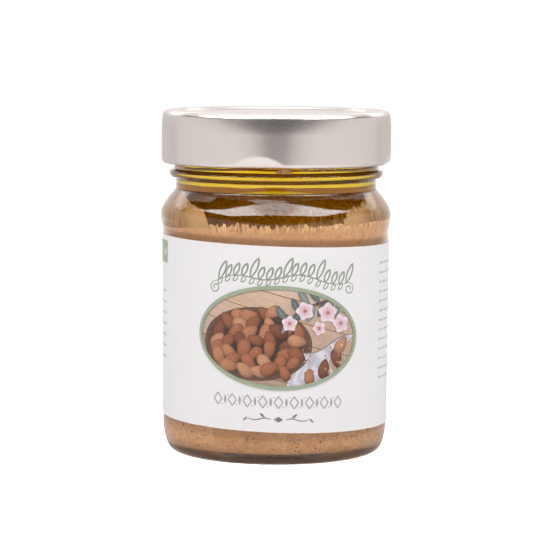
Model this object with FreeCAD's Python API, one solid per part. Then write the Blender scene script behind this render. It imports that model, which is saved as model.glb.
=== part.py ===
"""A closed glass jar of almond butter: jar, filling, separated oil, wrap-round label and twist-off lid.

Millimetres. The origin is the middle of the base, +Z is up, and the middle of the label faces -Y.
The jar and its filling are solids of revolution; radii are measured from the Z axis, heights from the base.
"""
import FreeCAD, Part
import math
import os

# --- driving sizes ---
jar_height = 109.0           # base to rim; the label panel takes up a change
body_radius = 36.3           # glass at the top of the label panel

# --- glass, outside ---
panel_draft = 0.3            # the panel is this much slimmer at its foot
heel_inset = 4.5             # from the panel's foot in to the outer edge of the bearing ring
heel_corner_radius = 3.4
heel_height = 9.4            # where the heel runs into the label panel
bearing_width = 2.0          # flat ring that the jar stands on
push_up = 3.4                # hollow under the base
bulge = 0.65                 # how far the shoulder stands out beyond the panel
bulge_height = 5.0           # from the top of the panel to the widest place
neck_inset = 4.1             # from the panel in to the neck
shoulder_round = 7.5         # radius of the shoulder's arc above the widest place
shoulder_lean = 33.5         # degrees from upright, where that arc runs into the slightly crowned slope
throat_lean = 42.0           # degrees from upright, where the slope meets the throat
throat_radius = 1.0          # small hollow corner between the slope and the neck
neck_straight = 2.5
bead_proud = 2.0             # the ring under the lid stands out from the neck
bead_rise = 1.9              # height of the bead's lower flank
bead_straight = 0.6
bead_fall = 1.5              # height of its upper flank
bead_clearance = 2.9         # from the bead's straight up to the lid's edge
finish_proud = 0.5           # the glass inside the lid is this much wider than the neck
rim_corner_radius = 1.2

# --- glass, inside ---
wall = 2.9
neck_wall = 2.2
base_thickness = 3.7
floor_dome = 2.0             # rise of the inner floor towards the middle
floor_corner_radius = 5.0
inner_shoulder_lead = 1.4    # the inner shoulder starts this far below the widest place
inner_shoulder_early = 0.5   # and ends this far below the neck

# --- filling ---
headspace = 7.8              # from the rim down to the oil
oil_depth = 27.2             # from the oil's level down to the almond butter's mean level
butter_tilt = 0.036          # rise of its surface for each millimetre towards +X
butter_wave = 0.55           # height of the uneven surface's slow waves
butter_ripple = 0.2          # and of its short ones

# --- label ---
label_thickness = 0.2
label_foot_margin = 1.5      # from the foot of the panel up to the label
label_head_margin = 1.8      # from the label up to the top of the panel
label_skew = 0.032           # the label is stuck on slightly askew: drop for each millimetre towards +X
label_back_gap = 14.0        # strip of bare glass between its two ends

# --- lid ---
lid_sheet = 0.3
lid_skirt = 16.8             # bottom of the rolled edge to the top
lid_clearance = 1.6          # between the rolled edge and the glass inside it
lid_corner_radius = 1.8
lid_draw = 0.3               # the skirt draws in this much below the corner
lid_draw_height = 5.0
roll_radius = 1.2            # rolled edge
lid_panel_gap = 0.9          # the sunk middle of the lid is this much smaller than the mouth
lid_panel_drop = 0.8         # and lies this much lower
lid_panel_step = 1.4         # width of the slope around it
lug_count = 4
first_lug_angle = -8.5       # degrees from the front, towards +X
lug_press_depth = 0.95       # how far the edge is pressed in at a lug
lug_press_height = 3.0

# --- radii that follow ---
panel_foot_radius = body_radius - panel_draft
shoulder_radius = body_radius + bulge
neck_radius = body_radius - neck_inset
bead_radius = neck_radius + bead_proud
finish_radius = neck_radius + finish_proud
mouth_radius = neck_radius - neck_wall
bearing_outer = panel_foot_radius - heel_inset
bearing_inner = bearing_outer - bearing_width
lid_radius = finish_radius + lid_clearance + 2 * roll_radius
lid_panel_radius = mouth_radius - lid_panel_gap

# --- how much of the shoulder its round edge, its throat and the large arc between them take ---
edge_angle, throat_angle = math.radians(shoulder_lean), math.radians(throat_lean)
edge_width = shoulder_round * (1 - math.cos(edge_angle))
throat_width = throat_radius * (1 - math.cos(throat_angle))
slope_width = bulge + neck_inset - edge_width - throat_width
slope_radius = slope_width / (math.cos(edge_angle) - math.cos(throat_angle))
slope_height = slope_radius * (math.sin(throat_angle) - math.sin(edge_angle))
throat_height = throat_radius * math.sin(throat_angle)
shoulder_height = shoulder_round * math.sin(edge_angle) + slope_height + throat_height

# --- heights that follow, from the top down ---
lid_top = jar_height + lid_sheet
lid_bottom = lid_top - lid_skirt
bead_top = lid_bottom - bead_clearance
bead_bottom = bead_top - bead_straight
neck_top = bead_bottom - bead_rise
neck_bottom = neck_top - neck_straight
widest = neck_bottom - shoulder_height
panel_top = widest - bulge_height
oil_level = jar_height - headspace
butter_level = oil_level - oil_depth
label_bottom = heel_height + label_foot_margin
label_top = panel_top - label_head_margin

UP = FreeCAD.Vector(0, 0, 1)
ORIGIN = FreeCAD.Vector(0, 0, 0)


def point(radius, height):
    return FreeCAD.Vector(radius, 0, height)


class Outline:
    """A half section in the XZ plane, drawn stretch by stretch, that turns into a solid of revolution."""

    def __init__(self, radius, height):
        self.radius, self.height = radius, height
        self.start = point(radius, height)
        self.edges = []

    def line_to(self, radius, height):
        self.edges.append(Part.LineSegment(point(self.radius, self.height), point(radius, height)).toShape())
        self.radius, self.height = radius, height

    def arc_to(self, radius, height, through):
        arc = Part.Arc(point(self.radius, self.height), point(*through), point(radius, height))
        self.edges.append(arc.toShape())
        self.radius, self.height = radius, height

    def corner_to(self, radius, height, centre):
        """Arc of up to half a turn about a centre, by its shorter way."""
        middle = ((self.radius + radius) / 2 - centre[0], (self.height + height) / 2 - centre[1])
        reach = math.hypot(self.radius - centre[0], self.height - centre[1]) / math.hypot(*middle)
        self.arc_to(radius, height, (centre[0] + middle[0] * reach, centre[1] + middle[1] * reach))

    def s_curve_to(self, radius, height):
        """Two equal tangent arcs, upwards between two upright tangents."""
        across, along = radius - self.radius, height - self.height
        turn = 2 * math.atan2(abs(across), along)
        bend = along / (2 * math.sin(turn))
        side = math.copysign(1, across)
        r0, z0 = self.radius, self.height

        def on_first(angle):
            return r0 + side * bend * (1 - math.cos(angle)), z0 + bend * math.sin(angle)

        def on_last(angle):
            return radius - side * bend * (1 - math.cos(angle)), height - bend * math.sin(angle)

        self.arc_to(*on_first(turn), through=on_first(turn / 2))
        self.arc_to(radius, height, through=on_last(turn / 2))

    def revolved(self):
        self.line_to(self.start.x, self.start.z)
        face = Part.Face(Part.Wire(self.edges))
        return face.revolve(ORIGIN, UP, 360)


def panel_radius_at(height):
    """Outer radius of the glass on the label panel, carried on past its ends."""
    return panel_foot_radius + panel_draft * (height - heel_height) / (panel_top - heel_height)


def dome_height(radius, edge_height, rise, edge_radius):
    """Height of a shallow spherical dome over a circle."""
    sphere = (edge_radius ** 2 + rise ** 2) / (2 * rise)
    return edge_height + rise - sphere + math.sqrt(sphere ** 2 - radius ** 2)


def glass_outside():
    """The jar as if it were solid, from the hollow under its base to the rim."""
    turn = 2 * math.atan((heel_inset - heel_corner_radius) / (heel_height - heel_corner_radius))
    heel_radius = heel_corner_radius + (heel_height - heel_corner_radius) / math.sin(turn)

    def on_corner(angle):
        return (bearing_outer + heel_corner_radius * math.cos(angle),
                heel_corner_radius * (1 - math.sin(angle)))

    def on_heel(angle):
        return (panel_foot_radius - heel_radius * (1 - math.cos(angle)),
                heel_height - heel_radius * math.sin(angle))

    def on_shoulder(angle):
        return (shoulder_radius - shoulder_round * (1 - math.cos(angle)),
                widest + shoulder_round * math.sin(angle))

    def on_slope(angle):
        return (shoulder_radius - edge_width - slope_radius * (math.cos(edge_angle) - math.cos(angle)),
                widest + shoulder_round * math.sin(edge_angle)
                + slope_radius * (math.sin(angle) - math.sin(edge_angle)))

    def on_throat(angle):
        return (neck_radius + throat_radius * (1 - math.cos(angle)),
                neck_bottom - throat_radius * math.sin(angle))

    section = Outline(0, push_up)
    half = bearing_inner / 2
    section.arc_to(bearing_inner, 0, through=(half, dome_height(half, 0, push_up, bearing_inner)))
    section.line_to(bearing_outer, 0)
    section.arc_to(*on_corner(turn), through=on_corner((turn + math.pi / 2) / 2))
    section.arc_to(panel_foot_radius, heel_height, through=on_heel(turn / 2))
    section.line_to(body_radius, panel_top)
    section.s_curve_to(shoulder_radius, widest)
    section.arc_to(*on_shoulder(edge_angle), through=on_shoulder(edge_angle / 2))
    section.arc_to(*on_throat(throat_angle), through=on_slope((edge_angle + throat_angle) / 2))
    section.arc_to(neck_radius, neck_bottom, through=on_throat(throat_angle / 2))
    section.line_to(neck_radius, neck_top)
    section.s_curve_to(bead_radius, bead_bottom)
    section.line_to(bead_radius, bead_top)
    section.s_curve_to(finish_radius, bead_top + bead_fall)
    section.line_to(finish_radius, jar_height - rim_corner_radius)
    section.corner_to(finish_radius - rim_corner_radius, jar_height,
                      (finish_radius - rim_corner_radius, jar_height - rim_corner_radius))
    section.line_to(0, jar_height)
    return section.revolved()


def cavity(top):
    """The room inside the glass, up to a height that lies in the mouth."""
    floor_edge_radius = panel_foot_radius - wall - floor_corner_radius
    corner_top = base_thickness + floor_corner_radius
    shoulder_start = widest - inner_shoulder_lead
    section = Outline(0, base_thickness + floor_dome)
    half = floor_edge_radius / 2
    section.arc_to(floor_edge_radius, base_thickness,
                   through=(half, dome_height(half, base_thickness, floor_dome, floor_edge_radius)))
    section.corner_to(floor_edge_radius + floor_corner_radius, corner_top, (floor_edge_radius, corner_top))
    section.line_to(panel_radius_at(shoulder_start) - wall, shoulder_start)
    section.s_curve_to(mouth_radius, neck_bottom - inner_shoulder_early)
    section.line_to(mouth_radius, top)
    section.line_to(0, top)
    return section.revolved()


def rim_rounding():
    """What is cut off the inner corner of the rim."""
    section = Outline(mouth_radius, jar_height - rim_corner_radius)
    section.corner_to(mouth_radius + rim_corner_radius, jar_height,
                      (mouth_radius + rim_corner_radius, jar_height - rim_corner_radius))
    section.line_to(mouth_radius, jar_height)
    return section.revolved()


def glass_jar():
    return glass_outside().cut(cavity(jar_height)).cut(rim_rounding())


def butter_surface(x, y):
    """Height of the almond butter's uneven top."""
    slow = math.sin(x / 9.0 + 0.6) * math.cos(y / 11.0 - 0.4)
    short = math.sin(x / 3.7 - y / 5.1) * math.cos(y / 3.3 + 1.1)
    return butter_level + butter_tilt * x + butter_wave * slow + butter_ripple * short


def below_butter_surface():
    """A block whose top is the almond butter's surface and whose foot is under the jar."""
    reach = shoulder_radius + 3
    steps = 24
    places = [-reach + 2 * reach * i / steps for i in range(steps + 1)]
    surface = Part.BSplineSurface()
    surface.interpolate([[FreeCAD.Vector(x, y, butter_surface(x, y)) for y in places] for x in places])
    return surface.toShape().extrude(UP * -2 * jar_height)


def fillings():
    """Almond butter and the oil on top of it, which share one uneven face."""
    filled = cavity(oil_level)
    block = below_butter_surface()
    return filled.common(block), filled.cut(block)


def askew_slab():
    """The band of space between the label's two edges, which lean towards +X."""
    reach = 2 * shoulder_radius
    corners = []
    for x, edge in ((-reach, label_bottom), (reach, label_bottom),
                    (reach, label_top), (-reach, label_top)):
        corners.append(FreeCAD.Vector(x, -reach, edge - label_skew * x))
    face = Part.Face(Part.makePolygon(corners + corners[:1]))
    return face.extrude(FreeCAD.Vector(0, 2 * reach, 0))


def label():
    section = Outline(panel_foot_radius, heel_height)
    section.line_to(panel_foot_radius + label_thickness, heel_height)
    section.line_to(body_radius + label_thickness, panel_top)
    section.line_to(body_radius, panel_top)
    gap = Part.makeBox(label_back_gap, 2 * shoulder_radius, jar_height,
                       FreeCAD.Vector(-label_back_gap / 2, 0, 0))
    return section.revolved().common(askew_slab()).cut(gap)


def lid_body(shrink):
    """The lid's outer form, or with a shrink the room inside it, closed at the bottom."""
    radius = lid_radius - shrink
    top = lid_top - shrink
    corner = lid_corner_radius - shrink
    lean = 2 * math.atan(lid_draw / lid_draw_height)
    corner_foot = (radius - lid_draw, top - corner * (1 - math.sin(lean)))
    corner_centre = (corner_foot[0] - corner * math.cos(lean), top - corner)
    draw_radius = lid_draw_height / math.sin(lean)

    def on_draw(angle):
        return (radius - draw_radius * (1 - math.cos(angle)),
                corner_foot[1] - lid_draw_height + draw_radius * math.sin(angle))

    section = Outline(0, top - lid_panel_drop)
    section.line_to(lid_panel_radius, top - lid_panel_drop)
    section.line_to(lid_panel_radius + lid_panel_step, top)
    section.line_to(corner_centre[0], top)
    section.corner_to(*corner_foot, corner_centre)
    section.arc_to(radius, corner_foot[1] - lid_draw_height, through=on_draw(lean / 2))
    roll_centre = (lid_radius - roll_radius, lid_bottom + roll_radius)
    if shrink:
        section.line_to(radius, lid_bottom + 2 * roll_radius)
        section.line_to(lid_radius - 2 * roll_radius, lid_bottom + roll_radius)
    else:
        section.line_to(radius, lid_bottom + roll_radius)
    section.corner_to(roll_centre[0], lid_bottom, roll_centre)
    section.line_to(0, lid_bottom)
    return section.revolved()


def lug_press(angle, shrink):
    """Block beyond the flat that a lug's pressing leaves on the skirt."""
    foot = lid_radius - lug_press_depth - shrink
    lean = math.degrees(math.atan(lug_press_depth / lug_press_height))
    block = Part.makeBox(4 * lid_radius, 4 * lid_radius, 2 * lid_skirt,
                         FreeCAD.Vector(0, -2 * lid_radius, -lid_skirt))
    block.rotate(ORIGIN, FreeCAD.Vector(0, 1, 0), lean)
    block.translate(point(foot, lid_bottom))
    block.rotate(ORIGIN, UP, angle - 90)
    return block


def lid():
    outer, inner = lid_body(0), lid_body(lid_sheet)
    for i in range(lug_count):
        angle = first_lug_angle + 360 * i / lug_count
        outer = outer.cut(lug_press(angle, 0))
        inner = inner.cut(lug_press(angle, lid_sheet))
    return outer.cut(inner)


def only_solid(shape, name):
    solids = shape.Solids
    if len(solids) != 1 or not solids[0].isValid():
        raise ValueError(f"{name} came out as {len(solids)} solids")
    return solids[0]


def main():
    butter, oil = fillings()
    pieces = {"glass_jar": glass_jar(), "almond_butter": butter, "oil": oil, "label": label(), "lid": lid()}
    os.makedirs("parts", exist_ok=True)
    for name, shape in pieces.items():
        solid = only_solid(shape, name)
        solid.exportStep(f"parts/{name}.step")
        print(f"{name}: {solid.Volume / 1000:.2f} cm3, {len(solid.Faces)} faces")


main()
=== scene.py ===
"""The looks of a closed jar of almond butter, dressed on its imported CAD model.

Lengths in this script are millimetres, and meshes are made in metres. +Z is up, the base is at height 0 and
the middle of the label faces -Y. Angles round the jar are in radians from there, towards +X.
"""
import math
import random
from functools import cache

import bpy
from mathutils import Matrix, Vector, noise

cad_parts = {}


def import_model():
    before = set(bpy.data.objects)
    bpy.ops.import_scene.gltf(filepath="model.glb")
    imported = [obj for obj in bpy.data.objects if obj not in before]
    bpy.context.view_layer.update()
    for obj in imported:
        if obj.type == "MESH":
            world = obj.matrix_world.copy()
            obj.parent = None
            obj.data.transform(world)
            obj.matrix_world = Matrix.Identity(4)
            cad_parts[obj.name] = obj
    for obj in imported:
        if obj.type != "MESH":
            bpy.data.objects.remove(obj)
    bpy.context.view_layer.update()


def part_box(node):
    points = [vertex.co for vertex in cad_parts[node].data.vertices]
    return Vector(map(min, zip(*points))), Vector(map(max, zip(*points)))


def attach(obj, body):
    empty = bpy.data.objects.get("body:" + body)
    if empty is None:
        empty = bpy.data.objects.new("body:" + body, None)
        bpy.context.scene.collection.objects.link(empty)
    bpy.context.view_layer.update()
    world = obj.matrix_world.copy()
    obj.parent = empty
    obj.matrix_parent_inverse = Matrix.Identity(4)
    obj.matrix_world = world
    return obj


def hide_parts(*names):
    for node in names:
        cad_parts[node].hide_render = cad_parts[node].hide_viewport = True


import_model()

MM = 0.001
TURN = 2 * math.pi
BODY = "root"


def box_mm(node):
    low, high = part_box(node)
    return low / MM, high / MM


# --- sizes from the frame ---
_, glass_high = box_mm("glass_jar")
lid_low, lid_high = box_mm("lid")
jar_height, shoulder_radius = glass_high.z, glass_high.x
lid_top, lid_bottom, lid_radius = lid_high.z, lid_low.z, lid_high.x
base_thickness = box_mm("almond_butter")[0].z
oil_level = box_mm("oil")[1].z

# --- the glass's outline between those ---
panel_foot_radius, panel_radius = 36.0, 36.3
bearing_inner, bearing_outer, push_up = 29.5, 31.5, 3.4
heel_corner_radius, heel_height = 3.4, 9.4
panel_top, widest = 70.6, 75.6
shoulder_round, throat_radius = 7.5, 1.0
shoulder_lean, throat_lean = math.radians(33.5), math.radians(42.0)
neck_radius, neck_bottom, neck_top = 32.2, 84.6, 87.1
bead_radius, bead_bottom, bead_top, bead_fall = 34.2, 89.0, 89.6, 1.5
finish_radius, rim_corner = 32.7, 1.2
wall, mouth_radius = 2.9, 30.0
floor_dome, floor_corner_radius = 2.0, 5.0
inner_shoulder_foot, inner_shoulder_top = 74.2, 84.2

# --- filling ---
butter_level, butter_tilt = 74.0, 0.036
oil_foot = butter_level - 3.0                  # the oil reaches no lower than this
butter_into_wall, oil_into_wall = 0.04, 0.06   # so that no air gap shows between filling and glass
# butter on the neck: degrees from the front, height, half length and half height
SMEARS = ((5, 91.3, 2.4, 0.8), (17, 93.0, 4.6, 0.9), (29, 93.0, 4.6, 0.9), (42, 93.4, 3.4, 0.8),
          (-72, 91.4, 3.4, 1.6), (-46, 93.2, 4.0, 0.6), (150, 92.0, 6.0, 1.0), (205, 91.0, 4.0, 1.4))
# the thin film on the inside of the shoulder: degrees from the front either way, and how high it reaches
FILM_TOPS = ((35, 72.0), (38, 76.0), (42, 78.2), (52, 79.2), (61, 81.0), (69, 83.6), (96, 83.8),
             (120, 84.0), (160, 81.0), (180, 80.0))

# --- label ---
label_thickness, label_skew = 0.2, 0.032
label_foot, label_head = 10.9, 68.8            # heights of its edges at its middle
label_back_gap = 14.0

# --- lid ---
lid_sheet, lid_corner_radius, roll_radius = 0.3, 1.8, 1.2
lid_draw, lid_draw_height = 0.3, 5.0
lid_panel_radius, lid_panel_drop, lid_panel_step = 29.1, 0.8, 1.4
lug_count, first_lug = 4, math.radians(-8.5)
lug_depth, lug_height = 0.95, 3.0
lug_reach = 6.0                                # the pressings keep this far from the top, and fade inwards


# ---------------------------------------------------------------- numbers in a row

def between(low, high, share):
    return low + (high - low) * share


def spaced(start, end, count):
    """Evenly spaced values from start to end, with both."""
    return [between(start, end, i / count) for i in range(count + 1)]


def round_turn(count):
    """Evenly spaced angles once round."""
    return [TURN * i / count for i in range(count)]


# ---------------------------------------------------------------- outlines

def arc(centre, radius, start, end, step=0.4):
    """Points on an arc, by angles in radians from +R towards +Z."""
    count = max(3, math.ceil(abs(end - start) * radius / step))
    return [(centre[0] + radius * math.cos(a), centre[1] + radius * math.sin(a))
            for a in spaced(start, end, count)]


def s_curve(foot, head, step=0.35):
    """Two equal tangent arcs between two upright tangents, upwards."""
    across, along = head[0] - foot[0], head[1] - foot[1]
    turn = 2 * math.atan2(abs(across), along)
    bend = along / (2 * math.sin(turn))
    side = math.copysign(1, across)
    count = max(4, math.ceil(bend * turn / step))
    angles = spaced(0, turn, count)
    first = [(foot[0] + side * bend * (1 - math.cos(a)), foot[1] + bend * math.sin(a)) for a in angles]
    last = [(head[0] - side * bend * (1 - math.cos(a)), head[1] - bend * math.sin(a)) for a in angles]
    return first + last[-2::-1]


def dome(edge_radius, edge_height, rise, count=24):
    """A shallow spherical dome from the axis out to its edge."""
    sphere = (edge_radius ** 2 + rise ** 2) / (2 * rise)
    return [(r, edge_height + rise - sphere + math.sqrt(sphere ** 2 - r ** 2))
            for r in spaced(0, edge_radius, count)]


def joined(*stretches):
    """One outline from several, without repeated points."""
    points = []
    for point in (p for stretch in stretches for p in stretch):
        if not points or math.dist(points[-1], point) > 1e-4:
            points.append(point)
    return points


def panel_radius_at(height):
    return between(panel_foot_radius, panel_radius, (height - heel_height) / (panel_top - heel_height))


def outside_outline():
    """The outside of the glass, from the middle of the base to the rim."""
    heel_inset = panel_foot_radius - bearing_outer
    turn = 2 * math.atan((heel_inset - heel_corner_radius) / (heel_height - heel_corner_radius))
    heel_radius = heel_corner_radius + (heel_height - heel_corner_radius) / math.sin(turn)
    straight_down, straight_back = -math.pi / 2, math.pi
    edge = (shoulder_radius - shoulder_round * (1 - math.cos(shoulder_lean)),
            widest + shoulder_round * math.sin(shoulder_lean))
    throat = (neck_radius + throat_radius * (1 - math.cos(throat_lean)),
              neck_bottom - throat_radius * math.sin(throat_lean))
    slope_radius = (edge[0] - throat[0]) / (math.cos(shoulder_lean) - math.cos(throat_lean))
    slope_centre = (edge[0] - slope_radius * math.cos(shoulder_lean),
                    edge[1] - slope_radius * math.sin(shoulder_lean))
    return joined(
        dome(bearing_inner, 0, push_up),
        arc((bearing_outer, heel_corner_radius), heel_corner_radius, straight_down, -turn, 0.3),
        arc((panel_foot_radius - heel_radius, heel_height), heel_radius, -turn, 0),
        s_curve((panel_radius, panel_top), (shoulder_radius, widest)),
        arc((shoulder_radius - shoulder_round, widest), shoulder_round, 0, shoulder_lean, 0.2),
        arc(slope_centre, slope_radius, shoulder_lean, throat_lean, 0.2),
        arc((neck_radius + throat_radius, neck_bottom), throat_radius,
            straight_back + throat_lean, straight_back, 0.06),
        s_curve((neck_radius, neck_top), (bead_radius, bead_bottom), 0.15),
        s_curve((bead_radius, bead_top), (finish_radius, bead_top + bead_fall), 0.15),
        arc((finish_radius - rim_corner, jar_height - rim_corner), rim_corner, 0, math.pi / 2, 0.2))


def inside_outline():
    """The inside of the glass, from the middle of its floor to the mouth, short of the rim's rounding."""
    corner_centre = (panel_foot_radius - wall - floor_corner_radius, base_thickness + floor_corner_radius)
    foot = (panel_radius_at(inner_shoulder_foot) - wall, inner_shoulder_foot)
    return joined(
        dome(corner_centre[0], base_thickness, floor_dome),
        arc(corner_centre, floor_corner_radius, -math.pi / 2, 0, 0.3),
        [(panel_radius_at(oil_foot) - wall, oil_foot)],
        s_curve(foot, (mouth_radius, inner_shoulder_top), 0.25),
        [(mouth_radius, jar_height - rim_corner)])


def radius_on(outline, height):
    """Radius of the upper run of an outline at a height."""
    for (r0, z0), (r1, z1) in zip(outline[-2::-1], outline[::-1]):
        if z0 <= height <= z1 and z1 > z0:
            return between(r0, r1, (height - z0) / (z1 - z0))
    return outline[-1][0]


# ---------------------------------------------------------------- meshes

def place(radius, angle, height):
    return (radius * math.sin(angle), -radius * math.cos(angle), height)


def disc_faces(start, count, rings):
    """Faces of a disc whose points are its middle, and then rings of so many points outwards."""
    faces = []
    for i in range(count):
        n = (i + 1) % count
        faces.append((start, start + 1 + i, start + 1 + n))
        for a in range(start + 1, start + 1 + (rings - 1) * count, count):
            faces.append((a + i, a + count + i, a + count + n, a + n))
    return faces


def new_object(name, data):
    piece = bpy.data.objects.new(name, data)
    bpy.context.scene.collection.objects.link(piece)
    return piece


def new_piece(name, points, faces, materials, material_of=None, sharp_from=None):
    """A smooth-shaded object from points in millimetres; material_of gives a face's material number, and
    edges are sharp from an angle in degrees."""
    mesh = bpy.data.meshes.new(name)
    mesh.from_pydata([Vector(p) * MM for p in points], [], faces)
    mesh.validate()
    mesh.polygons.foreach_set("use_smooth", [True] * len(mesh.polygons))
    if material_of:
        mesh.polygons.foreach_set("material_index", [material_of(p.center / MM) for p in mesh.polygons])
    mesh.update()
    if sharp_from:
        mesh.set_sharp_from_angle(angle=math.radians(sharp_from))
    for material in materials:
        mesh.materials.append(material)
    return new_object(name, mesh)


def loft(rows, wrap=True):
    """Points and quads of a surface through rows of points; a row of one point is a pole."""
    points, faces, starts = [], [], []
    for row in rows:
        starts.append(len(points))
        points += row
    for j in range(len(rows) - 1):
        low, high = rows[j], rows[j + 1]
        a, b = starts[j], starts[j + 1]
        count = max(len(low), len(high))
        for i in range(count if wrap else count - 1):
            n = (i + 1) % count
            if len(low) == 1:
                faces.append((a, b + n, b + i))
            elif len(high) == 1:
                faces.append((a + i, a + n, b))
            else:
                faces.append((a + i, a + n, b + n, b + i))
    return points, faces


def ring(radius, height, segments):
    if radius < 1e-6:
        return [(0, 0, height)]
    return [place(radius, a, height) for a in round_turn(segments)]


# ---------------------------------------------------------------- node helpers

class Nodes:
    """A short way to write the node tree of a material, or of the world."""

    def __init__(self, name, for_world=False):
        self.owner = (bpy.data.worlds if for_world else bpy.data.materials).new(name)
        self.owner.use_nodes = True
        self.tree = self.owner.node_tree
        self.tree.nodes.clear()
        self.output = self.add("OutputWorld" if for_world else "OutputMaterial")

    def add(self, kind, settings=None, **inputs):
        node = self.tree.nodes.new("ShaderNode" + kind)
        for key, value in (settings or {}).items():
            setattr(node, key, value)
        for key, value in inputs.items():
            self.put(node, key.replace("_", " "), value)
        return node

    def put(self, node, socket, value):
        target = node.inputs[int(socket) if socket.isdigit() else socket]
        if isinstance(value, bpy.types.NodeSocket):
            self.tree.links.new(value, target)
        else:
            target.default_value = value

    def fill(self, node, *values):
        """Sets a node's inputs in their order, and gives its first output."""
        for i, value in enumerate(values):
            self.put(node, str(i), value)
        return node.outputs[0]

    def reading(self, kind, vector, settings=None, **inputs):
        """A node that reads a vector: with None, the place in the object's own space, in metres."""
        node = self.add(kind, settings, **inputs)
        self.put(node, "Vector", self.coordinates() if vector is None else vector)
        return node

    def coordinates(self):
        return self.add("TexCoord").outputs["Object"]

    def axes(self, vector=None):
        """The X, Y and Z of a vector."""
        return self.reading("SeparateXYZ", vector).outputs[:3]

    def stretched(self, height, vector=None):
        """A vector with its Z multiplied: over 1 flattens a texture, and under 1 draws it out upright."""
        return self.reading("Mapping", vector, Scale=(1.0, 1.0, height)).outputs[0]

    def noise(self, scale, vector=None, detail=3.0, roughness=0.55):
        node = self.reading("TexNoise", vector, Scale=scale, Detail=detail, Roughness=roughness)
        return node.outputs["Fac"]

    def math(self, operation, *values):
        return self.fill(self.add("Math", {"operation": operation}), *values)

    def times(self, first, *others):
        for other in others:
            first = self.math("MULTIPLY", first, other)
        return first

    def ramp(self, value, low, high, bottom=0.0, top=1.0):
        """Smooth step of a value between two limits."""
        node = self.add("MapRange", {"interpolation_type": "SMOOTHSTEP"})
        for name, number in (("Value", value), ("From Min", low), ("From Max", high),
                             ("To Min", bottom), ("To Max", top)):
            self.put(node, name, number)
        return node.outputs["Result"]

    def mix(self, factor, first, second, blend="MIX"):
        node = self.add("Mix", {"data_type": "RGBA", "blend_type": blend})
        self.put(node, "0", factor)
        self.put(node, "6", first)
        self.put(node, "7", second)
        return node.outputs[2]

    def bump(self, height, strength, distance):
        return self.add("Bump", Height=height, Strength=strength, Distance=distance).outputs[0]

    def finish(self, shader, volume=None):
        self.tree.links.new(shader, self.output.inputs["Surface"])
        if volume is not None:
            self.tree.links.new(volume, self.output.inputs["Volume"])
        return self.owner


def rgb(red, green, blue):
    """Colour from its sRGB values, 0 to 255."""
    def linear(value):
        value /= 255
        return value / 12.92 if value <= 0.04045 else ((value + 0.055) / 1.055) ** 2.4
    return (linear(red), linear(green), linear(blue), 1.0)


WHITE = (1, 1, 1, 1)


# ---------------------------------------------------------------- clear materials

def clear_material(name, ior, waviness=0.0, tint=WHITE, absorption=None):
    """Glass or oil: bends what the camera sees, and lets soft light straight through to what is inside."""
    n = Nodes(name)
    body = n.add("BsdfPrincipled", Base_Color=WHITE, Roughness=0.0, IOR=ior, Transmission_Weight=1.0)
    if waviness:
        n.put(body, "Normal", n.bump(n.noise(55.0, detail=1.0), waviness, 0.002))
    through = n.add("BsdfTransparent", Color=tint).outputs[0]
    path = n.add("LightPath")
    soft = n.fill(n.add("MixShader"), path.outputs["Is Diffuse Ray"], body.outputs[0], through)
    lit = n.fill(n.add("MixShader"), path.outputs["Is Shadow Ray"], soft, through)
    volume = None
    if absorption:
        colour, density = absorption
        volume = n.add("VolumeAbsorption", Color=colour, Density=density).outputs[0]
    return n.finish(lit, volume)


GLASS_IOR, OIL_IOR = 1.52, 1.47
GLASS_TINT = (0.95, 0.96, 0.955, 1)
# absorption for each metre of oil: red, green, blue
OIL_ABSORPTION = (4.2, 12.0, 80.0)


def oil_absorption():
    density = max(OIL_ABSORPTION) * 1.02
    return tuple(1 - a / density for a in OIL_ABSORPTION) + (1.0,), density


# ---------------------------------------------------------------- glass jar

def glass_jar():
    outside, inside = outside_outline(), inside_outline()
    rim = arc((mouth_radius + rim_corner, jar_height - rim_corner), rim_corner, math.pi / 2, math.pi, 0.2)
    segments = 240
    rows = [ring(r, z, segments) for r, z in joined(outside, rim, inside[::-1])]

    def touches_oil(centre):
        radius = math.hypot(centre.x, centre.y)
        inner = radius < radius_on(inside, centre.z) + 0.5
        return int(inner and oil_foot < centre.z < oil_level)

    materials = (clear_material("clear_glass", GLASS_IOR, 0.12, GLASS_TINT),
                 clear_material("glass_against_oil", GLASS_IOR / OIL_IOR))
    piece = new_piece("glass", *loft(rows), materials, touches_oil, sharp_from=50)
    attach(piece, BODY)
    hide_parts("glass_jar")


# ---------------------------------------------------------------- filling

BUTTER_TAN, BUTTER_DEEP = rgb(228, 170, 119), rgb(204, 146, 96)
BUTTER_PALE, BUTTER_BROWN, BUTTER_SKIN = rgb(240, 194, 142), rgb(150, 98, 62), rgb(62, 36, 28)
# the oily brown serves both for oily streaks near the top and for the painted shadow above the label
BUTTER_STREAK, BUTTER_OILY_AND_SHADE = rgb(242, 200, 138), rgb(150, 96, 50)
FILM_THIN, FILM_THICK, FILM_END = rgb(140, 94, 46), rgb(182, 132, 80), rgb(196, 150, 98)
# bits of skin: cells in a metre, share of the cells left empty, and largest bit as a share of its cell
SPECKS = ((800.0, 0.86, 0.30), (1000.0, 0.76, 0.30), (1700.0, 0.74, 0.34))


def butter_surface(x, y):
    """Height of the almond butter's uneven top."""
    slow = 0.55 * math.sin(x / 9.0 + 0.6) * math.cos(y / 11.0 - 0.4)
    short = 0.2 * math.sin(x / 3.7 - y / 5.1) * math.cos(y / 3.3 + 1.1)
    return butter_level + butter_tilt * x + slow + short


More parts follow.
